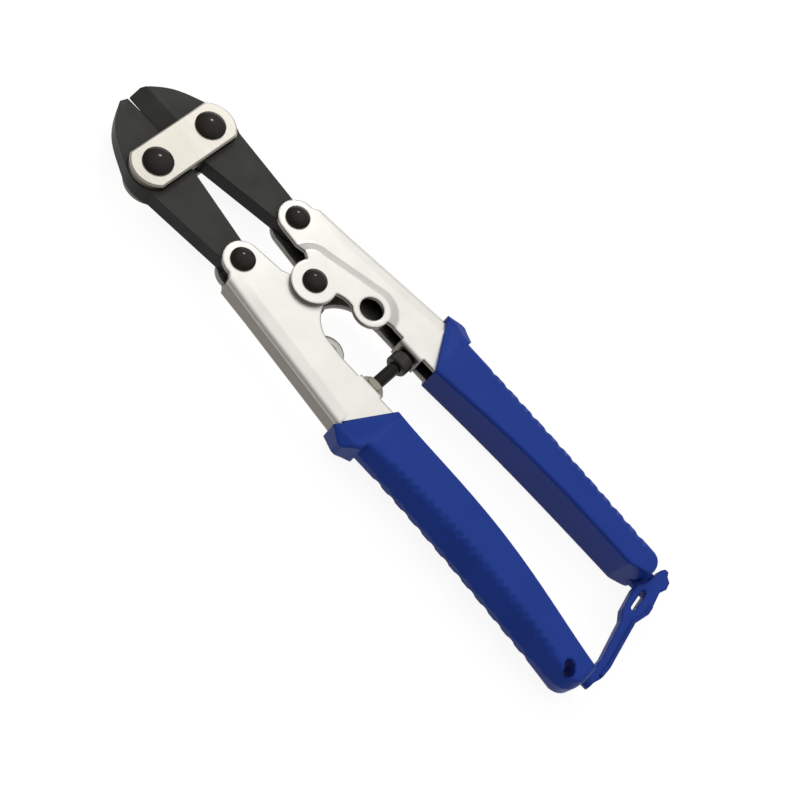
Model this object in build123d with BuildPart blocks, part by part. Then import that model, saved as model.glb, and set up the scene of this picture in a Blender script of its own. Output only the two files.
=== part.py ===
from build123d import *
import math
import os

os.makedirs("parts", exist_ok=True)

# Mini bolt cutters, closed and strapped: forged jaws on link plates, folded steel handles, plastic grips.
# Sizes are in mm. Plan positions are from the centre rivet: X runs to the grips, Y to the upper handle.

# Pivots
jaw_pivot_x = -54.4
jaw_pivot_y = 10.5
tail_pivot_x = -17.8
tail_pivot_y = 11.5

# Clearances
side_gap = 0.1
pin_clearance = 0.05
open_pivot_clearance = 0.3
edge_gap = 0.1
stop_gap = 0.2
strap_gap = 0.2

# Jaws
jaw_thickness = 6.0
nose_x = -76.4
nose_width = 4.0
tip_gap = 0.45
edge_contact_x = -70.5
bevel_run = 5.3
bevel_end_x = -60.2
edge_land = 0.15
heel_angle = 52.0
jaw_tail_radius = 4.2

# Link plates, rivets and spacer
link_thickness = 2.6
link_width = 13.8
link_shoulder = 1.2
link_chamfer = 0.5
jaw_rivet_radius = 2.5
jaw_rivet_head_radius = 4.6
jaw_rivet_head_height = 2.0
tail_rivet_radius = 2.2
tail_rivet_head_radius = 3.75
tail_rivet_head_height = 2.0
centre_rivet_radius = 2.25
centre_rivet_head_radius = 3.75
centre_rivet_head_height = 2.0
rivet_rim = 0.4
spacer_radius = 4.0

# Handles, one stamping used twice
sheet = 1.5
ear_radius = 5.9
web_start_x = -15.6
web_offset = 21.6
web_angle = 6.2
web_end_x = 36.0
shoulder_start_x = -15.0
shoulder_full_x = -4.0
shoulder_width = 4.6
shoulder_drop = 0.7
ear_drop = 0.05
bend_radius = 2.0
lug_ring_radius = 7.1
lug_hole_x = 16.6
lug_hole_y = 7.6
lug_hole_radius = 3.75
lug_hole_ring_radius = 5.8
ramp_margin = 3.1
ramp_run = 3.2
plain_ring_radius = 6.6
mouth_y = 9.8
tab_start_x = 28.7
tab_length = 8.5
tab_bend_radius = 1.4
tang_start_x = 35.0
tang_end_x = 92.0

# Stop screw and its nut, M4
screw_x = 33.2
screw_radius = 2.0
screw_head_radius = 3.5
screw_head_length = 4.6
screw_length = 19.5
socket_across_flats = 3.0
socket_depth = 2.0
nut_across_flats = 7.0
nut_thickness = 2.4
nut_chamfer = 0.45

# Grips: each station is the distance along the tool, inner edge, crest, outer edge and half thickness
upper_stations = [
    (30.0, 8.2, 24.4, 26.0, 5.6),
    (60.0, 10.6, 23.1, 25.6, 6.8),
    (90.0, 11.9, 21.8, 24.6, 7.6),
    (120.0, 11.8, 20.6, 24.0, 7.3),
    (136.0, 11.8, 20.2, 23.8, 7.2),
]
lower_stations = [
    (30.0, 6.4, 23.6, 25.4, 5.6),
    (60.0, 9.9, 22.8, 25.8, 6.8),
    (90.0, 12.0, 23.4, 27.3, 7.6),
    (120.0, 17.0, 26.4, 29.5, 7.3),
    (136.0, 19.6, 28.6, 30.6, 7.2),
]
grip_side_half = 1.5
grip_edge_radius = 0.9
grip_crest_radius = 2.2
upper_front = [(44.6, 5.0), (32.7, 25.6)]
lower_front = [(46.0, 5.0), (34.0, 25.6)]
collar_peak_y = 28.6
upper_collar_x = 37.8
lower_collar_x = 39.4
collar_outline = [(-5.4, -2.3), (-0.8, 0.0), (0.6, 0.0), (2.6, -1.6), (5.0, -3.2), (5.0, -6.6), (-2.6, -6.6)]
collar_corner_radius = 0.7
collar_half = 6.0
collar_side_half = 3.2
collar_slope_y = 24.2
upper_facet = [(43.4, 8.6), (40.6, 24.0)]
lower_facet = [(45.6, 8.6), (45.8, 24.0)]
facet_level = 6.2
facet_slope = 18.0
pad_slope = 4.4
rib_first_x = 54.0
rib_pitch = 5.7
rib_count = 12
rib_radius = 4.0
rib_depth = 0.35
notch_pitch = 2.85
notch_count = 24
notch_radius = 1.2
notch_depth = 0.8
tail_radius = 2.6
tail_inner_radius = 0.6
tail_corner_radius = 4.7
upper_tail_x = 127.3
upper_tail_y = 24.3
upper_tail_cut = [(116.9, 5.0), (118.2, 11.2), (126.0, 14.2)]
upper_tail_outline = [*upper_tail_cut, (upper_tail_x, 15.8), (upper_tail_x, upper_tail_y)]
upper_corner_radius = 5.4
lower_tail_x = 132.6
lower_tail_y = 29.8
lower_tail_outline = [(127.0, 5.0), (129.4, 17.0), (lower_tail_x, 18.8), (lower_tail_x, lower_tail_y)]
lower_corner_radius = 5.4
lanyard_x = 126.6
lanyard_y = 25.6
lanyard_width = 3.2
lanyard_length = 5.0
lanyard_turn = 50.0

# Lock strap, the post it hooks on and the pin it turns on
strap_thickness = 3.2
strap_bottom = -1.5
strap_width = 3.4
strap_root_width = 2.5
strap_root_rise = 2.8
strap_knuckle_radius = 2.0
strap_root_y = 20.8
strap_clear = 8.0
strap_outer = [(133.4, 2.4), (134.7, 7.6), (134.4, 10.4), (133.1, 16.1)]
strap_thumb = [(134.1, 18.2), (133.5, 20.6), (131.9, 21.6), (131.3, 23.0), (130.0, 22.8), (129.2, 21.4)]
strap_inner = [(128.7, 16.4), (127.6, 13.4), (126.8, 12.2), (126.8, 10.4), (128.2, 3.0), (130.0, 0.2)]
strap_corner_radius = 0.6
strap_rim = 1.0
strap_rim_y = -17.5
strap_rim_height = 0.6
eye_slot_x = 130.0
eye_slot_y = 8.8
eye_slot_length = 7.8
eye_slot_width = 1.6
eye_slot_turn = 6.0
strap_pin_radius = 0.8
strap_pin_depth = 4.0
strap_pin_head_radius = 1.4
strap_pin_head = 1.0
post_x = 131.2
post_y = 15.2
post_radius = 1.2
post_height = 1.3
pocket_clearance = 0.2
pocket_slack = 1.7
tongue_thickness = 2.6
tongue_outline = [(122.0, 13.6), (132.8, 13.6), (132.8, 20.0), (122.0, 22.0)]

# Levels from the middle plane that follow from these sizes
jaw_half = jaw_thickness / 2
link_end_radius = link_width / 2 + link_shoulder
cheek_in = jaw_half + side_gap
cheek_out = cheek_in + sheet
lug_in = cheek_out + side_gap
lug_out = lug_in + sheet
link_in = jaw_half + side_gap
link_out = link_in + link_thickness
rest_half = max(link_out + jaw_rivet_head_height, lug_out + centre_rivet_head_height)
tab_face_y = mouth_y - sheet
strap_start_x = lower_tail_x + strap_gap
strap_end_x = strap_start_x + strap_width
strap_root_x = strap_start_x + strap_root_width
strap_middle = strap_bottom + strap_thickness / 2
far = 20.0

# The frame: origin under the middle of the bounding box, Z up from the surface the tool lies on
base = Plane(origin=(-(nose_x + strap_end_x) / 2, (lower_tail_y - collar_peak_y) / 2, rest_half))


def at(x, y, z):
    """A point measured from the centre rivet and the middle plane."""
    return base.from_local_coords((x, y, z))


def across(x):
    """A plane square to the tool's length, with its X along Y and its Y up."""
    return Plane(origin=at(x, 0, 0), x_dir=(0, 1, 0), z_dir=(1, 0, 0))


def facing(x, y):
    """An upright plane through a point, with its X along X and its Y up, looking to -Y."""
    return Plane(origin=at(x, y, 0), x_dir=(1, 0, 0), z_dir=(0, -1, 0))


def polar(x, y, radius, angle):
    """A point on a circle."""
    turn = math.radians(angle)
    return (x + radius * math.cos(turn), y + radius * math.sin(turn))


def web_y(x):
    """The outer face of a handle's web, from above."""
    return web_offset + x * math.tan(math.radians(web_angle))


def rivet(x, y, radius, seat, head_radius, head_height):
    """A set rivet: a shank with a domed head on each side."""
    with BuildPart() as piece:
        with BuildSketch(facing(x, y)):
            with BuildLine():
                dome = TangentArc((0, seat + head_height), (head_radius, seat + rivet_rim), tangent=(1, 0))
                Polyline(dome @ 1, (head_radius, seat), (radius, seat), (radius, 0), (0, 0), dome @ 0)
            make_face()
            mirror(about=Plane.XZ)
        revolve(axis=Axis(at(x, y, 0), (0, 0, 1)))
    return piece


# Jaw without its pivot hole: nose, rounded back, long tail and a heel that rolls on the other jaw
heel_radius = jaw_pivot_y - edge_gap
heel_end = polar(jaw_pivot_x, jaw_pivot_y, heel_radius, -heel_angle)
heel_middle = polar(jaw_pivot_x, jaw_pivot_y, heel_radius, -(90 + heel_angle) / 2)
jaw_tail = [polar(tail_pivot_x, tail_pivot_y, jaw_tail_radius, angle) for angle in (118, 0, -100)]
back_steps = [(0, 0), (2.9, 4.3), (6.1, 7.6), (10.1, 10.2)]
back_steps += [(14.7, 12.5), (19.9, 14.6), (23.9, 14.9), (27.9, 13.8)]
back_line = [(nose_x + dx, nose_width + dy) for dx, dy in back_steps]

with BuildPart() as jaw_blank:
    with BuildSketch(base.offset(-jaw_half)):
        with BuildLine():
            Line((nose_x, tip_gap), (nose_x, nose_width))
            Spline(*back_line)
            Line(back_line[-1], jaw_tail[0])
            ThreePointArc(*jaw_tail)
            Line(jaw_tail[-1], heel_end)
            ThreePointArc(heel_end, heel_middle, (jaw_pivot_x, edge_gap))
            Polyline((jaw_pivot_x, edge_gap), (edge_contact_x, edge_gap), (nose_x, tip_gap))
        make_face()
    extrude(amount=jaw_thickness)
    with BuildSketch(across(nose_x - 1)):
        with BuildLine():
            Polyline((-1, edge_land), (0, edge_land), (bevel_run, jaw_half))
            Polyline((bevel_run, jaw_half), (bevel_run, far), (-1, far), (-1, edge_land))
        make_face()
        mirror(about=Plane.XZ)
    extrude(amount=bevel_end_x - nose_x + 1, mode=Mode.SUBTRACT)
    with Locations(at(tail_pivot_x, tail_pivot_y, 0)):
        Hole(tail_rivet_radius + pin_clearance)

# The upper jaw's pivot hole is looser: its rivet closes the loop of the linkage
with BuildPart() as upper_jaw:
    add(jaw_blank.part)
    with Locations(at(jaw_pivot_x, jaw_pivot_y, 0)):
        Hole(jaw_rivet_radius + open_pivot_clearance)

with BuildPart() as lower_jaw:
    mirror(jaw_blank.part, about=facing(0, 0))
    with Locations(at(jaw_pivot_x, -jaw_pivot_y, 0)):
        Hole(jaw_rivet_radius + pin_clearance)

# Link plates across the two jaw pivots
with BuildPart() as top_link_plate:
    with BuildSketch(base.offset(link_in)):
        with Locations((jaw_pivot_x, 0)):
            SlotCenterToCenter(2 * jaw_pivot_y, 2 * link_end_radius, rotation=90)
            Rectangle(link_width, 3 * jaw_pivot_y + 2 * link_end_radius, mode=Mode.INTERSECT)
        with Locations((jaw_pivot_x, jaw_pivot_y), (jaw_pivot_x, -jaw_pivot_y)):
            Circle(jaw_rivet_radius, mode=Mode.SUBTRACT)
    extrude(amount=link_thickness)
    chamfer(top_link_plate.faces().sort_by(Axis.Z)[-1].outer_wire().edges(), link_chamfer)

with BuildPart() as bottom_link_plate:
    mirror(top_link_plate.part, about=base)

# Rivets; the tool lies on the heads of the jaw rivets and on the grips
jaw_rivet_sizes = (jaw_rivet_radius, link_out, jaw_rivet_head_radius, jaw_rivet_head_height)
upper_jaw_rivet = rivet(jaw_pivot_x, jaw_pivot_y, *jaw_rivet_sizes)
lower_jaw_rivet = rivet(jaw_pivot_x, -jaw_pivot_y, *jaw_rivet_sizes)
tail_rivet_sizes = (tail_rivet_radius, cheek_out, tail_rivet_head_radius, tail_rivet_head_height)
upper_tail_rivet = rivet(tail_pivot_x, tail_pivot_y, *tail_rivet_sizes)
lower_tail_rivet = rivet(tail_pivot_x, -tail_pivot_y, *tail_rivet_sizes)
centre_rivet = rivet(0, 0, centre_rivet_radius, lug_out, centre_rivet_head_radius, centre_rivet_head_height)

with BuildPart() as centre_spacer:
    with BuildSketch(base.offset(-cheek_in + side_gap)):
        Circle(spacer_radius)
        Circle(centre_rivet_radius, mode=Mode.SUBTRACT)
    extrude(amount=2 * cheek_in - side_gap)

# What is kept of a handle's folded sheet: the lug's cheek above the middle plane, the plain cheek below
ear_in = polar(tail_pivot_x, tail_pivot_y, ear_radius, -97)
ear_out = polar(tail_pivot_x, tail_pivot_y, ear_radius, 85)
neck = (-8.4, 4.6)
behind = [(web_end_x + far, mouth_y), (web_end_x + far, 2 * web_offset), (web_start_x, 2 * web_offset)]
behind += [(web_start_x, web_y(web_start_x) - 0.8), ear_out, (tail_pivot_x, tail_pivot_y), ear_in]

with BuildPart() as cheeks:
    with BuildSketch(base):
        with BuildLine():
            Polyline(ear_in, neck, (0, 0), (6.4, 2.3))
            ThreePointArc((6.4, 2.3), (10.4, 3.7), (13.6, 3.2))
            Polyline((13.6, 3.2), (lug_hole_x, lug_hole_y), (22.0, 8.4), (24.6, mouth_y), *behind)
        make_face()
        with Locations((tail_pivot_x, tail_pivot_y)):
            Circle(ear_radius)
        Circle(lug_ring_radius)
        with Locations((lug_hole_x, lug_hole_y)):
            Circle(lug_hole_ring_radius)
    extrude(amount=far)
    with BuildSketch(base):
        with BuildLine():
            Polyline(ear_in, neck, (0, 0), (6.3, 1.2))
            ThreePointArc((6.3, 1.2), (8.7, 5.6), (14.0, 9.0))
            Polyline((14.0, 9.0), (22.0, mouth_y), *behind)
        make_face()
        with Locations((tail_pivot_x, tail_pivot_y)):
            Circle(ear_radius)
        Circle(plain_ring_radius)
    extrude(amount=-far)


def tang(start, inset):
    """A handle's tang from above; inset is taken off the side of the web."""
    return [
        (start, mouth_y),
        (43.0, mouth_y),
        (50.0, mouth_y + 2.2),
        (tang_end_x, mouth_y + 4.0),
        (tang_end_x, 21.6 - inset),
        (48.0, 22.8 - inset),
        (web_end_x, web_y(web_end_x) - inset),
        (start, web_y(start) - inset),
    ]


def fold(x):
    """A plane square to a handle's web, with its X running in from the web's outer face and its Y up."""
    lean = math.radians(web_angle)
    return Plane(
        origin=at(x, web_y(x), 0),
        x_dir=(math.sin(lean), -math.cos(lean), 0),
        z_dir=(math.cos(lean), math.sin(lean), 0),
    )


def handle(centre_bore):
    """The upper handle: folded channel, raised lug, tang and stop tab."""
    lean = math.radians(web_angle)
    reach = web_offset + lug_ring_radius + far
    ear_end_x = tail_pivot_x - 2 * ear_radius
    folds = [(ear_end_x, ear_drop), (shoulder_start_x, ear_drop)]
    folds += [(shoulder_full_x, shoulder_drop), (web_end_x, shoulder_drop)]
    outside = (0, cheek_out, lug_out, bend_radius, Mode.ADD)
    inside = (sheet, cheek_in, lug_in, bend_radius - sheet, Mode.SUBTRACT)
    with BuildPart() as piece:
        for inset, level, lug_level, radius, mode in (outside, inside):
            for x, drop in folds:
                with BuildSketch(fold(x)) as profile:
                    with BuildLine():
                        Polyline((reach, 0), (reach, level), (shoulder_width, level))
                        Polyline((shoulder_width, level), (inset, level - drop), (inset, 0), (reach, 0))
                    make_face()
                    fillet(profile.vertices().group_by(Axis.X)[0].sort_by(Axis.Y)[-1], radius)
                    mirror(about=Plane.XZ)
            loft(ruled=True, mode=mode)
            for height, step in ((level, 0), (lug_level, ramp_run)):
                ring = lug_hole_ring_radius + ramp_margin - step
                foot = (-11.8 + step, 3.0)
                turn = (-5.0 + 0.3 * step, 11.3 - step)
                with BuildSketch(base.offset(height)):
                    with BuildLine():
                        Line((foot[0], -far), foot)
                        ThreePointArc(foot, (-10.2 + 0.85 * step, 8.5 - 0.6 * step), turn)
                        rise = [polar(lug_hole_x, lug_hole_y, ring, angle) for angle in (105, 52, 0)]
                        Line(turn, rise[0])
                        ThreePointArc(*rise)
                        Polyline((lug_hole_x + ring, lug_hole_y), (lug_hole_x + ring, -far), (foot[0], -far))
                    make_face()
            loft(ruled=True, mode=mode)
        add(cheeks.part, mode=Mode.INTERSECT)
        with BuildSketch(base.offset(-cheek_out)):
            Polygon(*tang(tang_start_x, 0), align=None)
        extrude(amount=2 * cheek_out)
        hollow = tang(tang_start_x, sheet / math.cos(lean))
        with BuildSketch(base.offset(-cheek_in)):
            open_end = tang_end_x + far
            Polygon((tang_start_x, 0), (open_end, 0), (open_end, hollow[4][1]), *hollow[5:], align=None)
        extrude(amount=2 * cheek_in, mode=Mode.SUBTRACT)
        with BuildSketch(across(tab_start_x)) as tab:
            with Locations((tab_face_y, 0)):
                Rectangle(sheet, 2 * cheek_out, align=(Align.MIN, Align.CENTER))
            fillet(tab.vertices().group_by(Axis.X)[0], tab_bend_radius)
        extrude(amount=tab_length)
        with Locations(at(tail_pivot_x, tail_pivot_y, 0)):
            Hole(tail_rivet_radius)
        with Locations(at(0, 0, 0)):
            Hole(centre_bore)
        with Locations(at(lug_hole_x, lug_hole_y, far)):
            Hole(lug_hole_radius, depth=far - cheek_in)
    return piece


# The centre rivet is set in the lower handle and the upper one turns on it
upper_handle = handle(centre_rivet_radius + pin_clearance)

with BuildPart() as lower_handle:
    add(handle(centre_rivet_radius).part.rotate(Axis(base.origin, (1, 0, 0)), 180))
    with BuildSketch(facing(screw_x, 0)):
        Circle(screw_radius + pin_clearance)
    extrude(amount=mouth_y + sheet, mode=Mode.SUBTRACT)

# Stop screw: its head meets the upper handle's tab when the jaws are shut
screw_face_y = tab_face_y - stop_gap

with BuildPart() as stop_screw:
    with BuildSketch(facing(screw_x, screw_face_y)):
        Circle(screw_head_radius)
    extrude(amount=screw_head_length)
    with BuildSketch(facing(screw_x, screw_face_y - screw_head_length)):
        Circle(screw_radius)
    extrude(amount=screw_length)
    with BuildSketch(facing(screw_x, screw_face_y)):
        RegularPolygon(socket_across_flats / 2, 6, major_radius=False)
    extrude(amount=socket_depth, mode=Mode.SUBTRACT)
    chamfer(stop_screw.edges().filter_by(GeomType.CIRCLE).sort_by(Axis.Y)[-1], 0.4)

with BuildPart() as stop_lock_nut:
    with BuildSketch(facing(screw_x, nut_thickness - tab_face_y)):
        RegularPolygon(nut_across_flats / 2, 6, major_radius=False)
    extrude(amount=nut_thickness)
    with BuildSketch(Plane(origin=at(screw_x, -tab_face_y, 0), x_dir=(1, 0, 0), z_dir=(0, 0, 1))):
        flat_half = nut_across_flats / 2
        rim = flat_half + 2 * nut_chamfer
        Polygon(
            (screw_radius + pin_clearance, 0),
            (flat_half - nut_chamfer / 2, 0),
            (rim, nut_chamfer),
            (rim, nut_thickness - nut_chamfer),
            (flat_half - nut_chamfer / 2, nut_thickness),
            (screw_radius + pin_clearance, nut_thickness),
            align=None,
        )
    revolve(axis=Axis(at(screw_x, 0, 0), (0, 1, 0)), mode=Mode.INTERSECT)


def collar(peak_x):
    """A flare on the outer side of a grip's front."""
    with BuildPart() as piece:
        with BuildSketch(base.offset(-collar_half)) as flare:
            Polygon(*[(peak_x + dx, collar_peak_y + dy) for dx, dy in collar_outline], align=None)
            fillet(flare.vertices().group_by(Axis.Y)[-1], collar_corner_radius)
        extrude(amount=2 * collar_half)
        with BuildSketch(across(peak_x - far)):
            slope = [(collar_slope_y, collar_half), (collar_peak_y, collar_side_half)]
            Polygon(*slope, (2 * far, collar_side_half), (2 * far, far), (collar_slope_y, far), align=None)
            mirror(about=Plane.XZ)
        extrude(amount=2 * far, mode=Mode.SUBTRACT)
    return piece


def facet(line):
    """What the front facet takes off a grip: above the ramp and above the pad in front of it."""
    (x, y), (end_x, end_y) = line
    ramp = Plane(origin=at(x, y, 0), x_dir=(y - end_y, end_x - x, 0), z_dir=(end_x - x, end_y - y, 0))
    with BuildPart() as cut:
        with BuildSketch(ramp):
            drop = far * math.tan(math.radians(facet_slope))
            Polygon((0, facet_level), (far, facet_level - drop), (far, far), (0, far), align=None)
        extrude(amount=far, both=True)
        with BuildSketch(across(0)):
            drop = far * math.tan(math.radians(pad_slope))
            pad = [(0, facet_level), (y, facet_level), (y + far, facet_level - drop)]
            Polygon(*pad, (y + far, far), (0, far), align=None)
        extrude(amount=x + far, mode=Mode.INTERSECT)
        mirror(about=base)
    return cut


def tail_round(x, half):
    """What rounds the top and bottom of a grip's end."""
    with BuildPart() as cut:
        with BuildSketch(facing(0, -2 * far)):
            with Locations((x - tail_radius, half - tail_radius)):
                Rectangle(far, far, align=(Align.MIN, Align.MIN))
                Circle(tail_radius, mode=Mode.SUBTRACT)
            mirror(about=Plane.XZ)
        extrude(amount=-4 * far)
    return cut


def tail_corner(x, stations):
    """What rounds a grip's end into its sloping outer side."""
    first, last = stations[-2:]
    share = (x - tail_corner_radius - first[0]) / (last[0] - first[0])
    crest, outer, half = [near + share * (end - near) for near, end in zip(first[2:], last[2:])]
    slope = (0, crest - outer, half - grip_side_half)
    with BuildPart() as cut:
        with BuildSketch(Plane(origin=at(x, outer, grip_side_half), x_dir=(1, 0, 0), z_dir=slope)):
            with Locations((-tail_corner_radius, -tail_corner_radius)):
                Rectangle(far, far, align=(Align.MIN, Align.MIN))
                Circle(tail_corner_radius, mode=Mode.SUBTRACT)
        extrude(amount=far, both=True)
        mirror(about=base)
    return cut


def scallops(stations, pitch, count, radius, depth, crest_share):
    """Hollows across the outer side of a grip: along its slope, or turned over its crest."""
    with BuildLine() as crest_line:
        Spline(*[at(x, crest, half) for x, inner, crest, outer, half in stations])
    with BuildLine() as side_line:
        Spline(*[at(x, outer, grip_side_half) for x, inner, crest, outer, half in stations])
    length = stations[-1][0] - stations[0][0]
    with BuildPart() as cut:
        for step in range(count):
            share = (rib_first_x + step * pitch - stations[0][0]) / length
            top = crest_line.line @ share
            low = side_line.line @ share
            run = (low - top).normalized() + Vector(0, crest_share, 0)
            with BuildSketch(Plane(origin=top, x_dir=crest_line.line % share, z_dir=run)):
                with Locations((0, depth - radius)):
                    Circle(radius)
            extrude(amount=(1 - crest_share) * far / 2 + 2, both=True)
        mirror(about=base)
    return cut


def sleeve(stations, front, collar_x, facet_line, outline, corner_radius):
    """A grip on the upper side: lofted, with a slanted front, collar, ribs and a pocket for the tang."""
    tail_x, tail_y = outline[-1]
    front_x = front[-1][0]
    with BuildPart() as piece:
        for x, inner, crest, outer, half in stations:
            with BuildSketch(across(x)) as section:
                side = [(outer, grip_side_half), (outer, 0)]
                Polygon((inner, half), (crest, half), *side, (inner, 0), align=None)
                fillet(section.vertices().group_by(Axis.Y)[-1].sort_by(Axis.X)[0], grip_edge_radius)
                fillet(section.vertices().group_by(Axis.Y)[-1].sort_by(Axis.X)[-1], grip_crest_radius)
                mirror(about=Plane.XZ)
        loft()
        with BuildSketch(base.offset(-far)) as plan:
            rest = [(tail_x - far, tail_y), (tail_x - far, 2 * far), (front_x, 2 * far)]
            Polygon(*outline, *rest, front[1], front[0], align=None)
            fillet(plan.vertices().group_by(Axis.X)[-1].sort_by(Axis.Y)[0], tail_inner_radius)
            fillet(plan.vertices().group_by(Axis.X)[-1].sort_by(Axis.Y)[-1], corner_radius)
        extrude(amount=2 * far, mode=Mode.INTERSECT)
        add(collar(collar_x).part)
        add(facet(facet_line).part, mode=Mode.SUBTRACT)
        add(tail_round(tail_x, stations[-1][4]).part, mode=Mode.SUBTRACT)
        add(tail_corner(tail_x, stations).part, mode=Mode.SUBTRACT)
        ribs = scallops(stations, rib_pitch, rib_count, rib_radius, rib_depth, 0)
        add(ribs.part, mode=Mode.SUBTRACT)
        notches = scallops(stations, notch_pitch, notch_count, notch_radius, notch_depth, 1)
        add(notches.part, mode=Mode.SUBTRACT)
        with BuildSketch(base.offset(-cheek_out)):
            Polygon(*tang(front_x - sheet, 0), align=None)
        extrude(amount=2 * cheek_out, mode=Mode.SUBTRACT)
    return piece


# The upper grip's tail carries a low tongue with the post for the strap
tongue_top = strap_bottom - strap_gap

with BuildPart() as upper_grip:
    add(
        sleeve(
            upper_stations, upper_front, upper_collar_x, upper_facet, upper_tail_outline, upper_corner_radius
        ).part
    )
    with BuildSketch(base.offset(tongue_top - tongue_thickness)) as tongue:
        Polygon(*tongue_outline, align=None)
        fillet(tongue.vertices().group_by(Axis.X)[-1], post_radius)
    extrude(amount=tongue_thickness)
    with BuildSketch(base.offset(tongue_top)):
        with Locations((post_x, post_y)):
            Circle(post_radius)
    extrude(amount=strap_gap + post_height)

# The lower grip ends in a broad tail with the lanyard slot and the strap's pin
strap_hinge = (-strap_root_y, strap_middle)

with BuildPart() as lower_grip:
    mirror(
        sleeve(
            lower_stations, lower_front, lower_collar_x, lower_facet, lower_tail_outline, lower_corner_radius
        ).part,
        about=facing(0, 0),
    )
    with BuildSketch(base.offset(-far)):
        with Locations((lanyard_x, -lanyard_y)):
            SlotOverall(lanyard_length, lanyard_width, rotation=-lanyard_turn)
    extrude(amount=2 * far, mode=Mode.SUBTRACT)
    with BuildSketch(across(lower_tail_x - strap_pin_depth)):
        with Locations(strap_hinge):
            Circle(strap_pin_radius)
    extrude(amount=strap_pin_depth, mode=Mode.SUBTRACT)

# Lock strap: knuckle on the pin, bar across the tails, slotted eye, a blind pocket over the post, thumb tab
strap_top = strap_bottom + strap_thickness
bar_y = strap_clear - strap_root_y
bar_root = [(strap_start_x, bar_y), (strap_start_x, -strap_root_y), (strap_root_x, -strap_root_y)]
bar_root += [(strap_end_x, strap_root_rise - strap_root_y)]
bar_turn = (strap_end_x, bar_y - 1)
pocket_width = 2 * (post_radius + pocket_clearance)
pocket_length = pocket_width + pocket_slack

with BuildPart() as lock_strap:
    with BuildSketch(base.offset(strap_bottom)) as outline:
        Polygon(*bar_root, bar_turn, *strap_outer, *strap_thumb, *strap_inner, align=None)
        fillet(outline.vertices().filter_by(lambda v: v.Y > bar_y + 1), strap_corner_radius)
    extrude(amount=strap_thickness)
    with BuildSketch(base.offset(strap_top)):
        edge = [(strap_end_x, strap_rim_y), bar_turn, *strap_outer[:3]]
        Polygon(*edge, *[(x - strap_rim, y) for x, y in reversed(edge)], align=None)
    extrude(amount=strap_rim_height)
    with BuildSketch(base.offset(strap_bottom - 1)):
        with Locations((eye_slot_x, eye_slot_y)):
            SlotOverall(eye_slot_length, eye_slot_width, rotation=90 + eye_slot_turn)
    extrude(amount=far, mode=Mode.SUBTRACT)
    with BuildSketch(base.offset(strap_bottom)):
        with Locations((post_x, post_y + pocket_slack / 2)):
            SlotOverall(pocket_length, pocket_width, rotation=90)
    extrude(amount=post_height + pocket_clearance, mode=Mode.SUBTRACT)
    with BuildSketch(across(strap_start_x)):
        with Locations(strap_hinge):
            Circle(strap_knuckle_radius)
    extrude(amount=strap_root_width)
    with BuildSketch(across(strap_start_x)):
        with Locations(strap_hinge):
            Circle(strap_pin_radius + pin_clearance)
    extrude(amount=strap_width, mode=Mode.SUBTRACT)
    with BuildSketch(across(strap_root_x - strap_pin_head)):
        with Locations(strap_hinge):
            Circle(strap_pin_head_radius + pin_clearance)
    extrude(amount=strap_width, mode=Mode.SUBTRACT)

# Strap pin: pressed into the lower tail, its head sunk in the strap
with BuildPart() as strap_pin:
    with BuildSketch(across(lower_tail_x - strap_pin_depth)):
        with Locations(strap_hinge):
            Circle(strap_pin_radius)
    extrude(amount=strap_root_x - side_gap - lower_tail_x + strap_pin_depth)
    with BuildSketch(across(strap_root_x - strap_pin_head + side_gap)):
        with Locations(strap_hinge):
            Circle(strap_pin_head_radius)
    extrude(amount=strap_pin_head - 2 * side_gap)

upper_jaw.part.label = "upper_jaw"
export_step(upper_jaw.part, "parts/upper_jaw.step")
lower_jaw.part.label = "lower_jaw"
export_step(lower_jaw.part, "parts/lower_jaw.step")
top_link_plate.part.label = "top_link_plate"
export_step(top_link_plate.part, "parts/top_link_plate.step")
bottom_link_plate.part.label = "bottom_link_plate"
export_step(bottom_link_plate.part, "parts/bottom_link_plate.step")
upper_jaw_rivet.part.label = "upper_jaw_rivet"
export_step(upper_jaw_rivet.part, "parts/upper_jaw_rivet.step")
lower_jaw_rivet.part.label = "lower_jaw_rivet"
export_step(lower_jaw_rivet.part, "parts/lower_jaw_rivet.step")
upper_handle.part.label = "upper_handle"
export_step(upper_handle.part, "parts/upper_handle.step")
lower_handle.part.label = "lower_handle"
export_step(lower_handle.part, "parts/lower_handle.step")
upper_tail_rivet.part.label = "upper_tail_rivet"
export_step(upper_tail_rivet.part, "parts/upper_tail_rivet.step")
lower_tail_rivet.part.label = "lower_tail_rivet"
export_step(lower_tail_rivet.part, "parts/lower_tail_rivet.step")
centre_rivet.part.label = "centre_rivet"
export_step(centre_rivet.part, "parts/centre_rivet.step")
centre_spacer.part.label = "centre_spacer"
export_step(centre_spacer.part, "parts/centre_spacer.step")
stop_screw.part.label = "stop_screw"
export_step(stop_screw.part, "parts/stop_screw.step")
stop_lock_nut.part.label = "stop_lock_nut"
export_step(stop_lock_nut.part, "parts/stop_lock_nut.step")
upper_grip.part.label = "upper_grip"
export_step(upper_grip.part, "parts/upper_grip.step")
lower_grip.part.label = "lower_grip"
export_step(lower_grip.part, "parts/lower_grip.step")
lock_strap.part.label = "lock_strap"
export_step(lock_strap.part, "parts/lock_strap.step")
strap_pin.part.label = "strap_pin"
export_step(strap_pin.part, "parts/strap_pin.step")
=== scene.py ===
import math

import bmesh
import bpy
from bpy.props import FloatProperty, FloatVectorProperty, IntProperty, PointerProperty
from mathutils import Matrix, Vector


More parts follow.
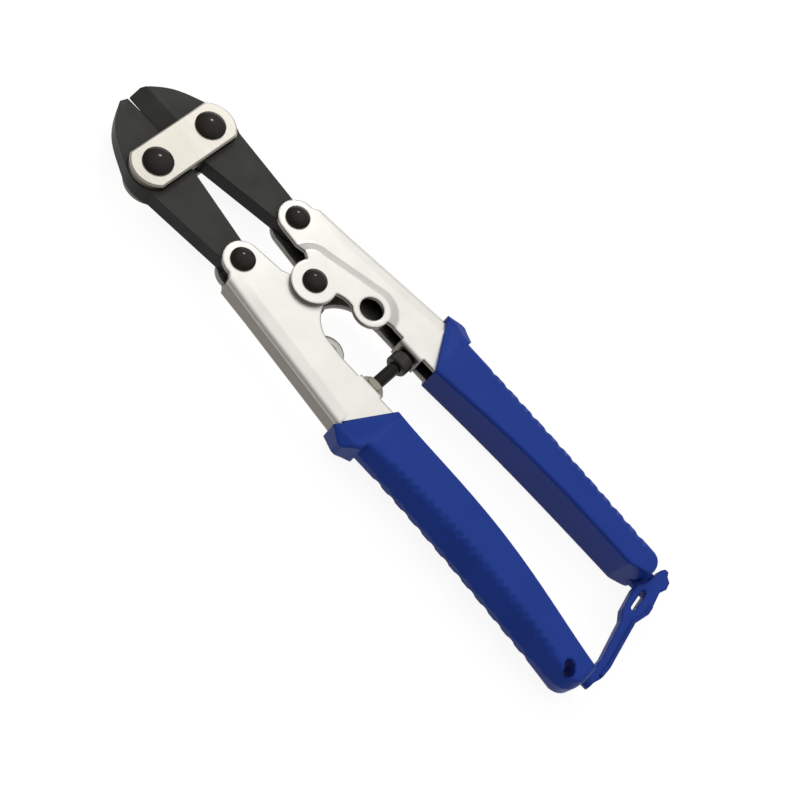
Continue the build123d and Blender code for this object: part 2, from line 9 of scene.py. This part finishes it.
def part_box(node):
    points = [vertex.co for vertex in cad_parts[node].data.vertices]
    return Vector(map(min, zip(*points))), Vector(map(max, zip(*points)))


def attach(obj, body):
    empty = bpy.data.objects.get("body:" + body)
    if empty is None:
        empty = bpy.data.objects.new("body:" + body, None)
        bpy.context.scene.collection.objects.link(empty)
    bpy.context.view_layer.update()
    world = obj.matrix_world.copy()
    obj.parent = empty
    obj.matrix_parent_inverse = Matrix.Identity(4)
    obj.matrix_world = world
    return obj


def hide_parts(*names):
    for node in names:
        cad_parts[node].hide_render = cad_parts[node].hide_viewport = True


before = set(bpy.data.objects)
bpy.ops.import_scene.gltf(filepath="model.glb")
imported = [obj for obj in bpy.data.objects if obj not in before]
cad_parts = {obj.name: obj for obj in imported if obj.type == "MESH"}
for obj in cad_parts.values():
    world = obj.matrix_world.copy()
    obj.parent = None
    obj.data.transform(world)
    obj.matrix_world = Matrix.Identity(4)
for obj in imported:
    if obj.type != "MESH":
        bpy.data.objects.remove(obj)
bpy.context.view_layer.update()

bl_info = {
    "name": "Mini Bolt Cutters",
    "version": (1, 0, 0),
    "blender": (4, 5, 0),
    "location": "View3D > Sidebar > Bolt Cutters",
    "description": "Finishes the pieces of small compound bolt cutters and builds their stop screw",
    "category": "Object",
}

MM = 0.001
ROUND_STEPS = 32
MERGE_DISTANCE = 0.01 * MM
SHARP_ANGLE = math.radians(28)


def linear(hex_code):
    """An sRGB hex colour as linear red, green and blue."""
    parts = [int(hex_code[i : i + 2], 16) / 255 for i in (1, 3, 5)]
    return [p / 12.92 if p <= 0.04045 else ((p + 0.055) / 1.055) ** 2.4 for p in parts]


def colour(name, description, hex_code):
    """A colour that the user can change."""
    return FloatVectorProperty(
        name=name, description=description, subtype="COLOR", min=0, max=1, default=linear(hex_code)
    )


def length(name, description, millimetres):
    """A length that the user can change."""
    return FloatProperty(
        name=name, description=description, unit="LENGTH", min=0, default=millimetres * MM
    )


def angle(name, description, degrees):
    """An angle that the user can change."""
    return FloatProperty(
        name=name, description=description, subtype="ANGLE", default=math.radians(degrees)
    )


class FinishSettings(bpy.types.PropertyGroup):
    """Colours of the finishes, and of the painted shade on upright sides and in hollows."""

    jaw_black: colour("Jaw black", "Blackened faces of the jaws", "#484743")
    # Painted shade: a near-black tone for the upright sides of the jaws, standing in for the shade on them.
    jaw_side_painted_shade: colour("Jaw side", "Forging scale on the upright sides of the jaws", "#0C0B0A")
    rivet_black: colour("Rivet black", "Lacquer of the rivets", "#1C130B")
    screw_black: colour("Screw black", "Black oxide of the stop screw", "#35332D")
    plate_grey: colour("Plate grey", "Tumbled steel of the link plates", "#D9D4CA")
    # Painted shade: a dark tone for the upright sides and edges of the link plates, standing in for the
    # shade on them.
    plate_side_painted_shade: colour("Plate side", "Sheared edges of the link plates", "#5F5A52")
    handle_silver: colour("Handle silver", "Satin nickel plate of the handles", "#F1EFE8")
    # Painted shade: a darker tone for the upright sides and folds of the handles, standing in for the shade
    # on them.
    handle_side_painted_shade: colour("Handle side", "Drawn metal on the upright sides of the handles", "#757069")
    # Painted shade: a near-black tone for the hollows of the folded handles, standing in for the shade
    # inside them.
    handle_hollow_painted_shade: colour("Handle shade", "Oil and dust inside the folded handles", "#1C1815")
    zinc: colour("Zinc", "Zinc plate of the nut, spacer and pin", "#9A998B")
    grip_blue: colour("Grip blue", "Moulded plastic of the grips and strap", "#2444A5")


class ScrewSettings(bpy.types.PropertyGroup):
    """Sizes of the stop screw, M4 by 20."""

    head_length: length("Head length", "Height of the head", 4.6)
    head_chamfer: length("Head chamfer", "Slope around the head's face", 0.8)
    shank_radius: length("Shank radius", "Half the thread's diameter", 2.0)
    thread_pitch: length("Thread pitch", "Distance between turns", 0.7)
    thread_depth: length("Thread depth", "Height of the thread", 0.38)
    socket_width: length("Socket width", "Across the flats of the socket", 3.0)
    socket_depth: length("Socket depth", "Depth of the socket", 2.0)
    knurl_depth: length("Knurl depth", "Depth of the ridges around the head", 0.14)
    knurls: IntProperty(name="Knurls", description="Ridges around the head", default=36, min=12)


class StageSettings(bpy.types.PropertyGroup):
    """Camera, light and floor."""

    target: FloatVectorProperty(
        name="Target",
        description="Point the camera looks at",
        subtype="TRANSLATION",
        default=(11.254 * MM, -2.084 * MM, 8.2 * MM),
    )
    distance: length("Distance", "From the camera to the target", 420)
    azimuth: angle("Azimuth", "Turn of the camera", 3.41)
    elevation: angle("Elevation", "Height of the camera", 59.13)
    roll: angle("Roll", "Turn of the picture", 43.96)
    lens: FloatProperty(name="Lens", description="Focal length in millimetres", default=66.03)
    floor_colour: colour("Floor", "Pale floor", "#7E7E7D")
    floor_glow: FloatProperty(
        name="Floor glow", description="How far the floor is lifted to white", default=0.9
    )
    floor_radius: length("Floor radius", "Radius of the level floor", 4000)
    floor_reach: length("Floor reach", "Radius of the floor's raised rim", 60000)
    floor_rise: length("Floor rise", "Height of the floor's raised rim", 2500)
    sky_key: FloatVectorProperty(
        name="Sky key",
        description="Direction of the sky's brightest part",
        subtype="DIRECTION",
        default=(-0.06, 0.47, 0.88),
    )
    sky_dim: FloatProperty(name="Sky dim", description="Strength of the room around the key", default=0.4)
    sky_bright: FloatProperty(name="Sky bright", description="Strength of the key", default=1.2)
    lamp_place: FloatVectorProperty(
        name="Lamp place",
        description="Place of the softbox",
        subtype="TRANSLATION",
        default=(-0.47, 0.66, 0.73),
    )
    lamp_size: length("Lamp size", "Side of the softbox", 140)
    lamp_power: FloatProperty(
        name="Lamp power", description="Power of the softbox", unit="POWER", default=1.1
    )


def add(tree, kind, inputs=None, **settings):
    """Adds a node, with its settings and its values or links."""
    node = tree.nodes.new(kind)
    for name, value in settings.items():
        setattr(node, name, value)
    for socket, value in (inputs or {}).items():
        if isinstance(value, bpy.types.NodeSocket):
            tree.links.new(value, node.inputs[socket])
        else:
            node.inputs[socket].default_value = value
    return node


def start_material(name):
    """An empty material and its tree."""
    material = bpy.data.materials.new(name)
    material.use_nodes = True
    material.node_tree.nodes.clear()
    return material, material.node_tree


def surface(tree, inputs):
    """Ends a material with one shader."""
    shader = add(tree, "ShaderNodeBsdfPrincipled", inputs)
    add(tree, "ShaderNodeOutputMaterial", {"Surface": shader.outputs[0]})


def shade(rgb, factor=1.0):
    """A lighter or darker colour, with alpha."""
    return [min(1, c * factor) for c in rgb] + [1]


def mottle(tree, place, rgb, size_mm, low, high):
    """A colour that drifts between two tones over a real distance, with the pattern behind it."""
    cloud = {"Vector": place, "Scale": 1 / (size_mm * MM), "Detail": 4}
    noise = add(tree, "ShaderNodeTexNoise", cloud)
    tint = add(tree, "ShaderNodeValToRGB", {"Fac": noise.outputs["Fac"]})
    for stop, position, factor in zip(tint.color_ramp.elements, (0.3, 0.7), (low, high)):
        stop.position = position
        stop.color = shade(rgb, factor)
    return tint.outputs["Color"], noise.outputs["Fac"]


def relief(tree, height, strength, depth_mm, edge_mm):
    """Fine relief over softened edges."""
    edge = add(tree, "ShaderNodeBevel", {"Radius": edge_mm * MM}, samples=6)
    bump = {
        "Height": height,
        "Strength": strength,
        "Distance": depth_mm * MM,
        "Normal": edge.outputs["Normal"],
    }
    return add(tree, "ShaderNodeBump", bump).outputs["Normal"]


def faces_and_painted_shade_sides(tree, face, side):
    """The piece's own tone on its flat faces and a darker painted shade on its upright sides."""
    turn = add(tree, "ShaderNodeNewGeometry").outputs["Normal"]
    own = add(tree, "ShaderNodeVectorTransform", {0: turn}, vector_type="NORMAL", convert_to="OBJECT")
    level = add(tree, "ShaderNodeSeparateXYZ", {0: own.outputs[0]}).outputs["Z"]
    level = add(tree, "ShaderNodeMath", {0: level}, operation="ABSOLUTE").outputs[0]
    # Painted shade: the more upright the face, the more its tone is mixed towards the dark side colour.
    flat = add(tree, "ShaderNodeMapRange", {"Value": level, "From Min": 0.2, "From Max": 0.9})
    tones = {0: flat.outputs["Result"], 6: shade(side), 7: face}
    return add(tree, "ShaderNodeMix", tones, data_type="RGBA").outputs[2]


def blackened_forging(rgb, side):
    """Forged tool steel, blackened and oiled: dark satin with faint mottling and a fine grain.

    The upright sides carry a painted shade, darker than the flat faces.
    """
    material, tree = start_material("blackened_forging")
    place = add(tree, "ShaderNodeTexCoord").outputs["Object"]
    tint, cloud = mottle(tree, place, rgb, size_mm=6, low=0.85, high=1.12)
    # Painted shade on the upright sides.
    tint = faces_and_painted_shade_sides(tree, tint, side)
    grit = {"Vector": place, "Scale": 1 / (0.35 * MM), "Detail": 2}
    grain = add(tree, "ShaderNodeTexNoise", grit).outputs["Fac"]
    sheen = add(tree, "ShaderNodeMapRange", {"Value": cloud, "To Min": 0.38, "To Max": 0.5})
    inputs = {
        "Base Color": tint,
        "Roughness": sheen.outputs["Result"],
        "Specular IOR Level": 0.1,
        "Normal": relief(tree, grain, strength=0.25, depth_mm=0.03, edge_mm=0.25),
    }
    surface(tree, inputs)
    return material


def black_steel(name, rgb, low, high, gloss, ripple_mm):
    """Steel under a black coat: deep black, with a highlight as crisp as its roughness lets it be."""
    material, tree = start_material(name)
    place = add(tree, "ShaderNodeTexCoord").outputs["Object"]
    wave = {"Vector": place, "Scale": 1 / (ripple_mm * MM), "Detail": 2}
    ripple = add(tree, "ShaderNodeTexNoise", wave).outputs["Fac"]
    sheen = add(tree, "ShaderNodeMapRange", {"Value": ripple, "To Min": low, "To Max": high})
    inputs = {
        "Base Color": shade(rgb),
        "Roughness": sheen.outputs["Result"],
        "Specular IOR Level": gloss,
        "Normal": relief(tree, ripple, strength=0.15, depth_mm=0.02, edge_mm=0.15),
    }
    surface(tree, inputs)
    return material


def satin_metal(name, rgb, brush_mm, low, high, edge_mm=0.3, side=None, inside=None):
    """Plated or tumbled steel: soft reflections with faint streaks along the tool.

    Its upright sides can take a darker painted shade, and its hollows a dark painted shade from ambient
    occlusion.
    """
    material, tree = start_material(name)
    place = add(tree, "ShaderNodeTexCoord").outputs["Object"]
    stretch = add(tree, "ShaderNodeMapping", {"Vector": place, "Scale": (0.04, 1, 1)})
    brush = {"Vector": stretch.outputs["Vector"], "Scale": 1 / (brush_mm * MM), "Detail": 3}
    streaks = add(tree, "ShaderNodeTexNoise", brush).outputs["Fac"]
    tint, _ = mottle(tree, place, rgb, size_mm=9, low=0.95, high=1.03)
    # Painted shade on the upright sides.
    if side:
        tint = faces_and_painted_shade_sides(tree, tint, side)
    if inside:
        # Painted shade: where ambient occlusion finds the piece closed in, the tone is mixed towards the
        # dark inside colour.
        depth = {"Distance": 12 * MM}
        hollow = add(tree, "ShaderNodeAmbientOcclusion", depth, samples=8, only_local=True)
        open_air = {"Value": hollow.outputs["AO"], "From Min": 0.25, "From Max": 0.7}
        light = add(tree, "ShaderNodeMapRange", open_air).outputs["Result"]
        tones = {0: light, 6: shade(inside), 7: tint}
        tint = add(tree, "ShaderNodeMix", tones, data_type="RGBA").outputs[2]
    sheen = add(tree, "ShaderNodeMapRange", {"Value": streaks, "To Min": low, "To Max": high})
    inputs = {
        "Base Color": tint,
        "Metallic": 1.0,
        "Roughness": sheen.outputs["Result"],
        "Normal": relief(tree, streaks, strength=0.15, depth_mm=0.02, edge_mm=edge_mm),
    }
    surface(tree, inputs)
    return material


def moulded_plastic(rgb):
    """Polypropylene moulded in an eroded tool: one deep colour, a fine grain and a low sheen."""
    material, tree = start_material("moulded_polypropylene")
    place = add(tree, "ShaderNodeTexCoord").outputs["Object"]
    tint, _ = mottle(tree, place, rgb, size_mm=14, low=0.94, high=1.05)
    # The real grain is about 0.15 mm; it is drawn at 0.4 mm so that it shows.
    texture = {"Vector": place, "Scale": 1 / (0.4 * MM), "Detail": 2}
    grain = add(tree, "ShaderNodeTexNoise", texture).outputs["Fac"]
    sheen = add(tree, "ShaderNodeMapRange", {"Value": grain, "To Min": 0.36, "To Max": 0.5})
    inputs = {
        "Base Color": tint,
        "Roughness": sheen.outputs["Result"],
        "IOR": 1.49,
        "Specular IOR Level": 0.14,
        "Normal": relief(tree, grain, strength=0.3, depth_mm=0.03, edge_mm=1.3),
    }
    surface(tree, inputs)
    return material


def finish(material, *nodes):
    """Gives CAD nodes a material."""
    for name in nodes:
        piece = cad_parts[name]
        if piece.material_slots:
            for slot in piece.material_slots:
                slot.material = material
        else:
            piece.data.materials.append(material)


class BOLTCUTTERS_OT_jaws(bpy.types.Operator):
    """Finishes the two jaws"""

    bl_idname = "boltcutters.jaws"
    bl_label = "Jaws"

    def execute(self, context):
        colours = context.scene.boltcutters_finish
        # The upright sides of the jaws get painted shade.
        forging = blackened_forging(colours.jaw_black, colours.jaw_side_painted_shade)
        finish(forging, "upper_jaw", "lower_jaw")
        return {"FINISHED"}


class BOLTCUTTERS_OT_links(bpy.types.Operator):
    """Finishes the link plates"""

    bl_idname = "boltcutters.links"
    bl_label = "Link Plates"

    def execute(self, context):
        colours = context.scene.boltcutters_finish
        # The upright edges of the plates get painted shade.
        tumbled = satin_metal(
            "tumbled_steel", colours.plate_grey, brush_mm=0.5, low=0.4, high=0.5, side=colours.plate_side_painted_shade
        )
        finish(tumbled, "top_link_plate", "bottom_link_plate")
        return {"FINISHED"}


class BOLTCUTTERS_OT_handles(bpy.types.Operator):
    """Finishes the folded handles"""

    bl_idname = "boltcutters.handles"
    bl_label = "Handles"

    def execute(self, context):
        colours = context.scene.boltcutters_finish
        # The upright sides and the hollows of the handles get painted shade.
        nickel = satin_metal(
            "satin_nickel_plate",
            colours.handle_silver,
            brush_mm=0.6,
            low=0.3,
            high=0.4,
            edge_mm=1.0,
            side=colours.handle_side_painted_shade,
            inside=colours.handle_hollow_painted_shade,
        )
        finish(nickel, "upper_handle", "lower_handle")
        return {"FINISHED"}


class BOLTCUTTERS_OT_rivets(bpy.types.Operator):
    """Finishes the black rivets"""

    bl_idname = "boltcutters.rivets"
    bl_label = "Rivets"

    def execute(self, context):
        colours = context.scene.boltcutters_finish
        lacquer = black_steel(
            "black_lacquer", colours.rivet_black, low=0.1, high=0.16, gloss=0.32, ripple_mm=1.5
        )
        finish(lacquer, "upper_jaw_rivet", "lower_jaw_rivet")
        finish(lacquer, "upper_tail_rivet", "lower_tail_rivet", "centre_rivet")
        return {"FINISHED"}


class BOLTCUTTERS_OT_screw(bpy.types.Operator):
    """Builds the stop screw with its thread, ridged head and socket"""

    bl_idname = "boltcutters.screw"
    bl_label = "Stop Screw"

    def execute(self, context):
        settings = context.scene.boltcutters_screw
        low, high = (Vector(corner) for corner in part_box("stop_screw"))
        shank = high.y - low.y - settings.head_length
        if shank <= 2 * settings.thread_pitch:
            raise ValueError("The head leaves no length for the thread")
        shape = bmesh.new()
        self.make_head(shape, settings, (high.x - low.x) / 2)
        self.make_shank(shape, settings, shank)
        seat = Vector(((low.x + high.x) / 2, high.y - settings.head_length, (low.z + high.z) / 2))
        along = Matrix.Translation(seat) @ Matrix.Rotation(-math.pi / 2, 4, "X")
        bmesh.ops.transform(shape, matrix=along, verts=shape.verts)
        bmesh.ops.recalc_face_normals(shape, faces=shape.faces)
        for face in shape.faces:
            face.smooth = True
        mesh = bpy.data.meshes.new("threaded_stop_screw")
        shape.to_mesh(mesh)
        shape.free()
        mesh.set_sharp_from_angle(angle=SHARP_ANGLE)
        screw = bpy.data.objects.new("threaded_stop_screw", mesh)
        context.scene.collection.objects.link(screw)
        colours = context.scene.boltcutters_finish
        oxide = black_steel(
            "black_oxide", colours.screw_black, low=0.36, high=0.5, gloss=0.4, ripple_mm=0.5
        )
        mesh.materials.append(oxide)
        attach(screw, "stop_screw")
        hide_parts("stop_screw")
        return {"FINISHED"}

    def make_head(self, shape, settings, radius):
        """Rings from the underside over the ridged side to the socket's floor, each joined to the next."""
        count = 2 * settings.knurls
        foot = settings.head_chamfer / 2
        top = settings.head_length
        rings = (
            (settings.shank_radius, 0, "round"),
            (radius - foot, 0, "round"),
            (radius, foot, "ridged"),
            (radius, top - settings.head_chamfer, "ridged"),
            (radius - settings.head_chamfer, top, "round"),
            (settings.socket_width / 2, top, "hexagon"),
            (settings.socket_width / 2, top - settings.socket_depth, "hexagon"),
        )
        last = None
        for reach, height, kind in rings:
            ring = bmesh.ops.create_circle(shape, segments=count, radius=reach)["verts"]
            for index, vert in enumerate(ring):
                turn = math.atan2(vert.co.y, vert.co.x)
                if kind == "hexagon":
                    vert.co *= 1 / math.cos(math.fmod(turn + 2 * math.pi, math.pi / 3) - math.pi / 6)
                elif kind == "ridged" and index % 2:
                    vert.co *= 1 - settings.knurl_depth / reach
                vert.co.z = height
            edges = list({edge for vert in ring for edge in vert.link_edges})
            if last:
                bmesh.ops.bridge_loops(shape, edges=last + edges)
            last = edges
        bmesh.ops.edgeloop_fill(shape, edges=last)

    def make_shank(self, shape, settings, shank):
        """A plain core down to the tip, and a thread turned round it."""
        crest = settings.shank_radius
        root = crest - settings.thread_depth
        pitch = settings.thread_pitch
        bmesh.ops.create_cone(
            shape,
            cap_ends=True,
            segments=ROUND_STEPS,
            radius1=root,
            radius2=root,
            depth=shank,
            matrix=Matrix.Translation((0, 0, -shank / 2)),
        )
        # Radius and share of the pitch at each point of the thread's profile
        flank = ((root, 0), (crest, 0.4), (crest, 0.52), (root, 0.92), (root, 1))
        start = -shank + pitch / 2
        points = [shape.verts.new((reach, 0, start + rise * pitch)) for reach, rise in flank]
        lines = [shape.edges.new(pair) for pair in zip(points, points[1:])]
        turns = int((shank - pitch) / pitch)
        old = set(shape.verts) - set(points)
        bmesh.ops.spin(
            shape,
            geom=points + lines,
            cent=(0, 0, 0),
            axis=(0, 0, 1),
            dvec=(0, 0, pitch / ROUND_STEPS),
            angle=2 * math.pi * turns,
            steps=ROUND_STEPS * turns,
            use_merge=False,
        )
        thread = [vert for vert in shape.verts if vert not in old]
        bmesh.ops.remove_doubles(shape, verts=thread, dist=MERGE_DISTANCE)


class BOLTCUTTERS_OT_hardware(bpy.types.Operator):
    """Finishes the lock nut, the spacer and the strap pin"""

    bl_idname = "boltcutters.hardware"
    bl_label = "Nut, Spacer and Pin"

    def execute(self, context):
        colours = context.scene.boltcutters_finish
        zinc = satin_metal("zinc_plate", colours.zinc, brush_mm=0.4, low=0.34, high=0.46)
        finish(zinc, "stop_lock_nut", "centre_spacer", "strap_pin")
        return {"FINISHED"}


class BOLTCUTTERS_OT_grips(bpy.types.Operator):
    """Finishes the grips and the lock strap"""

    bl_idname = "boltcutters.grips"
    bl_label = "Grips and Strap"

    def execute(self, context):
        colours = context.scene.boltcutters_finish
        finish(moulded_plastic(colours.grip_blue), "upper_grip", "lower_grip", "lock_strap")
        return {"FINISHED"}


class BOLTCUTTERS_OT_stage(bpy.types.Operator):
    """Sets the floor, the light and the camera"""

    bl_idname = "boltcutters.stage"
    bl_label = "Stage"

    def execute(self, context):
        scene = context.scene
        settings = scene.boltcutters_stage
        scene.view_settings.view_transform = "Standard"
        self.make_floor(scene, settings)
        self.make_world(scene, settings)
        self.make_lamp(scene, settings)
        self.make_camera(scene, settings)
        return {"FINISHED"}

    def make_floor(self, scene, settings):
        """A pale floor that keeps the shadow, looks white to the camera and in metal, and rises far off."""
        mesh = bpy.data.meshes.new("floor")
        shape = bmesh.new()
        bmesh.ops.create_circle(shape, cap_ends=True, segments=2 * ROUND_STEPS, radius=settings.floor_radius)
        rim = bmesh.ops.extrude_edge_only(shape, edges=shape.edges[:])["geom"]
        rim = [item for item in rim if isinstance(item, bmesh.types.BMVert)]
        widen = settings.floor_reach / settings.floor_radius
        bmesh.ops.scale(shape, vec=(widen, widen, 1), verts=rim)
        bmesh.ops.translate(shape, vec=(0, 0, settings.floor_rise), verts=rim)
        shape.to_mesh(mesh)
        shape.free()
        floor = bpy.data.objects.new("floor", mesh)
        scene.collection.objects.link(floor)
        material, tree = start_material("pale_floor")
        rays = add(tree, "ShaderNodeLightPath").outputs
        seen = rays["Is Camera Ray"]
        for ray in ("Is Glossy Ray", "Is Transmission Ray"):
            seen = add(tree, "ShaderNodeMath", {0: seen, 1: rays[ray]}, operation="MAXIMUM").outputs[0]
        glow = add(tree, "ShaderNodeMath", {0: seen, 1: settings.floor_glow}, operation="MULTIPLY")
        paper = add(tree, "ShaderNodeBsdfDiffuse", {"Color": shade(settings.floor_colour)})
        light = add(tree, "ShaderNodeEmission", {"Strength": glow.outputs[0]})
        both = add(tree, "ShaderNodeAddShader", {0: paper.outputs[0], 1: light.outputs[0]})
        add(tree, "ShaderNodeOutputMaterial", {"Surface": both.outputs[0]})
        mesh.materials.append(material)

    def make_world(self, scene, settings):
        """A studio sky: one broad soft light high behind the tool, falling off to a dim room."""
        world = bpy.data.worlds.new("studio")
        scene.world = world
        world.use_nodes = True
        tree = world.node_tree
        tree.nodes.clear()
        way = add(tree, "ShaderNodeTexCoord").outputs["Generated"]
        key = Vector(settings.sky_key).normalized()
        near = add(tree, "ShaderNodeVectorMath", {0: way, 1: key}, operation="DOT_PRODUCT")
        # The light fades between these cosines of the angle from the key's middle
        fade = {
            "Value": near.outputs["Value"],
            "From Min": 0.45,
            "From Max": 0.99,
            "To Min": settings.sky_dim,
            "To Max": settings.sky_bright,
        }
        strength = add(tree, "ShaderNodeMapRange", fade).outputs["Result"]
        back = add(tree, "ShaderNodeBackground", {"Strength": strength})
        add(tree, "ShaderNodeOutputWorld", {"Surface": back.outputs[0]})

    def make_lamp(self, scene, settings):
        """A small softbox for crisp highlights on the rivets and a thin shadow."""
        place = Vector(settings.lamp_place)
        lamp = bpy.data.lights.new("softbox", "AREA")
        lamp.shape = "SQUARE"
        lamp.size = settings.lamp_size
        lamp.energy = settings.lamp_power
        holder = bpy.data.objects.new("softbox", lamp)
        holder.location = place
        holder.rotation_euler = (-place).to_track_quat("-Z", "Y").to_euler()
        scene.collection.objects.link(holder)

    def make_camera(self, scene, settings):
        """Stands the camera where the picture was taken from."""
        out = math.cos(settings.elevation)
        side = math.sin(settings.azimuth) * out
        front = -math.cos(settings.azimuth) * out
        back = Vector((side, front, math.sin(settings.elevation)))
        right = (-back).cross(Vector((0, 0, 1))).normalized()
        up = right.cross(-back)
        turned = Matrix.Rotation(settings.roll, 3, back)
        axes = Matrix((turned @ right, turned @ up, back)).transposed()
        camera = bpy.data.cameras.new("camera")
        camera.lens = settings.lens
        camera.sensor_width = 36
        camera.clip_start = 10 * MM
        holder = bpy.data.objects.new("camera", camera)
        eye = Vector(settings.target) + settings.distance * back
        holder.matrix_world = Matrix.Translation(eye) @ axes.to_4x4()
        scene.collection.objects.link(holder)
        scene.camera = holder


class BOLTCUTTERS_PT_panel(bpy.types.Panel):
    """Lists the settings and the steps"""

    bl_idname = "BOLTCUTTERS_PT_panel"
    bl_label = "Bolt Cutters"
    bl_space_type = "VIEW_3D"
    bl_region_type = "UI"
    bl_category = "Bolt Cutters"

    def draw(self, context):
        scene = context.scene
        column = self.layout.column()
        for settings in (scene.boltcutters_finish, scene.boltcutters_screw, scene.boltcutters_stage):
            for name in settings.__annotations__:
                column.prop(settings, name)
        for operator in OPERATORS:
            column.operator(operator.bl_idname)


OPERATORS = (
    BOLTCUTTERS_OT_jaws,
    BOLTCUTTERS_OT_links,
    BOLTCUTTERS_OT_handles,
    BOLTCUTTERS_OT_rivets,
    BOLTCUTTERS_OT_screw,
    BOLTCUTTERS_OT_hardware,
    BOLTCUTTERS_OT_grips,
    BOLTCUTTERS_OT_stage,
)
CLASSES = (FinishSettings, ScrewSettings, StageSettings, *OPERATORS, BOLTCUTTERS_PT_panel)


def register():
    for item in CLASSES:
        bpy.utils.register_class(item)
    bpy.types.Scene.boltcutters_finish = PointerProperty(type=FinishSettings)
    bpy.types.Scene.boltcutters_screw = PointerProperty(type=ScrewSettings)
    bpy.types.Scene.boltcutters_stage = PointerProperty(type=StageSettings)


def unregister():
    del bpy.types.Scene.boltcutters_stage
    del bpy.types.Scene.boltcutters_screw
    del bpy.types.Scene.boltcutters_finish
    for item in reversed(CLASSES):
        bpy.utils.unregister_class(item)


def main():
    register()
    bpy.ops.boltcutters.jaws()
    bpy.ops.boltcutters.links()
    bpy.ops.boltcutters.handles()
    bpy.ops.boltcutters.rivets()
    bpy.ops.boltcutters.screw()
    bpy.ops.boltcutters.hardware()
    bpy.ops.boltcutters.grips()
    bpy.ops.boltcutters.stage()


if __name__ == "__main__":
    main()
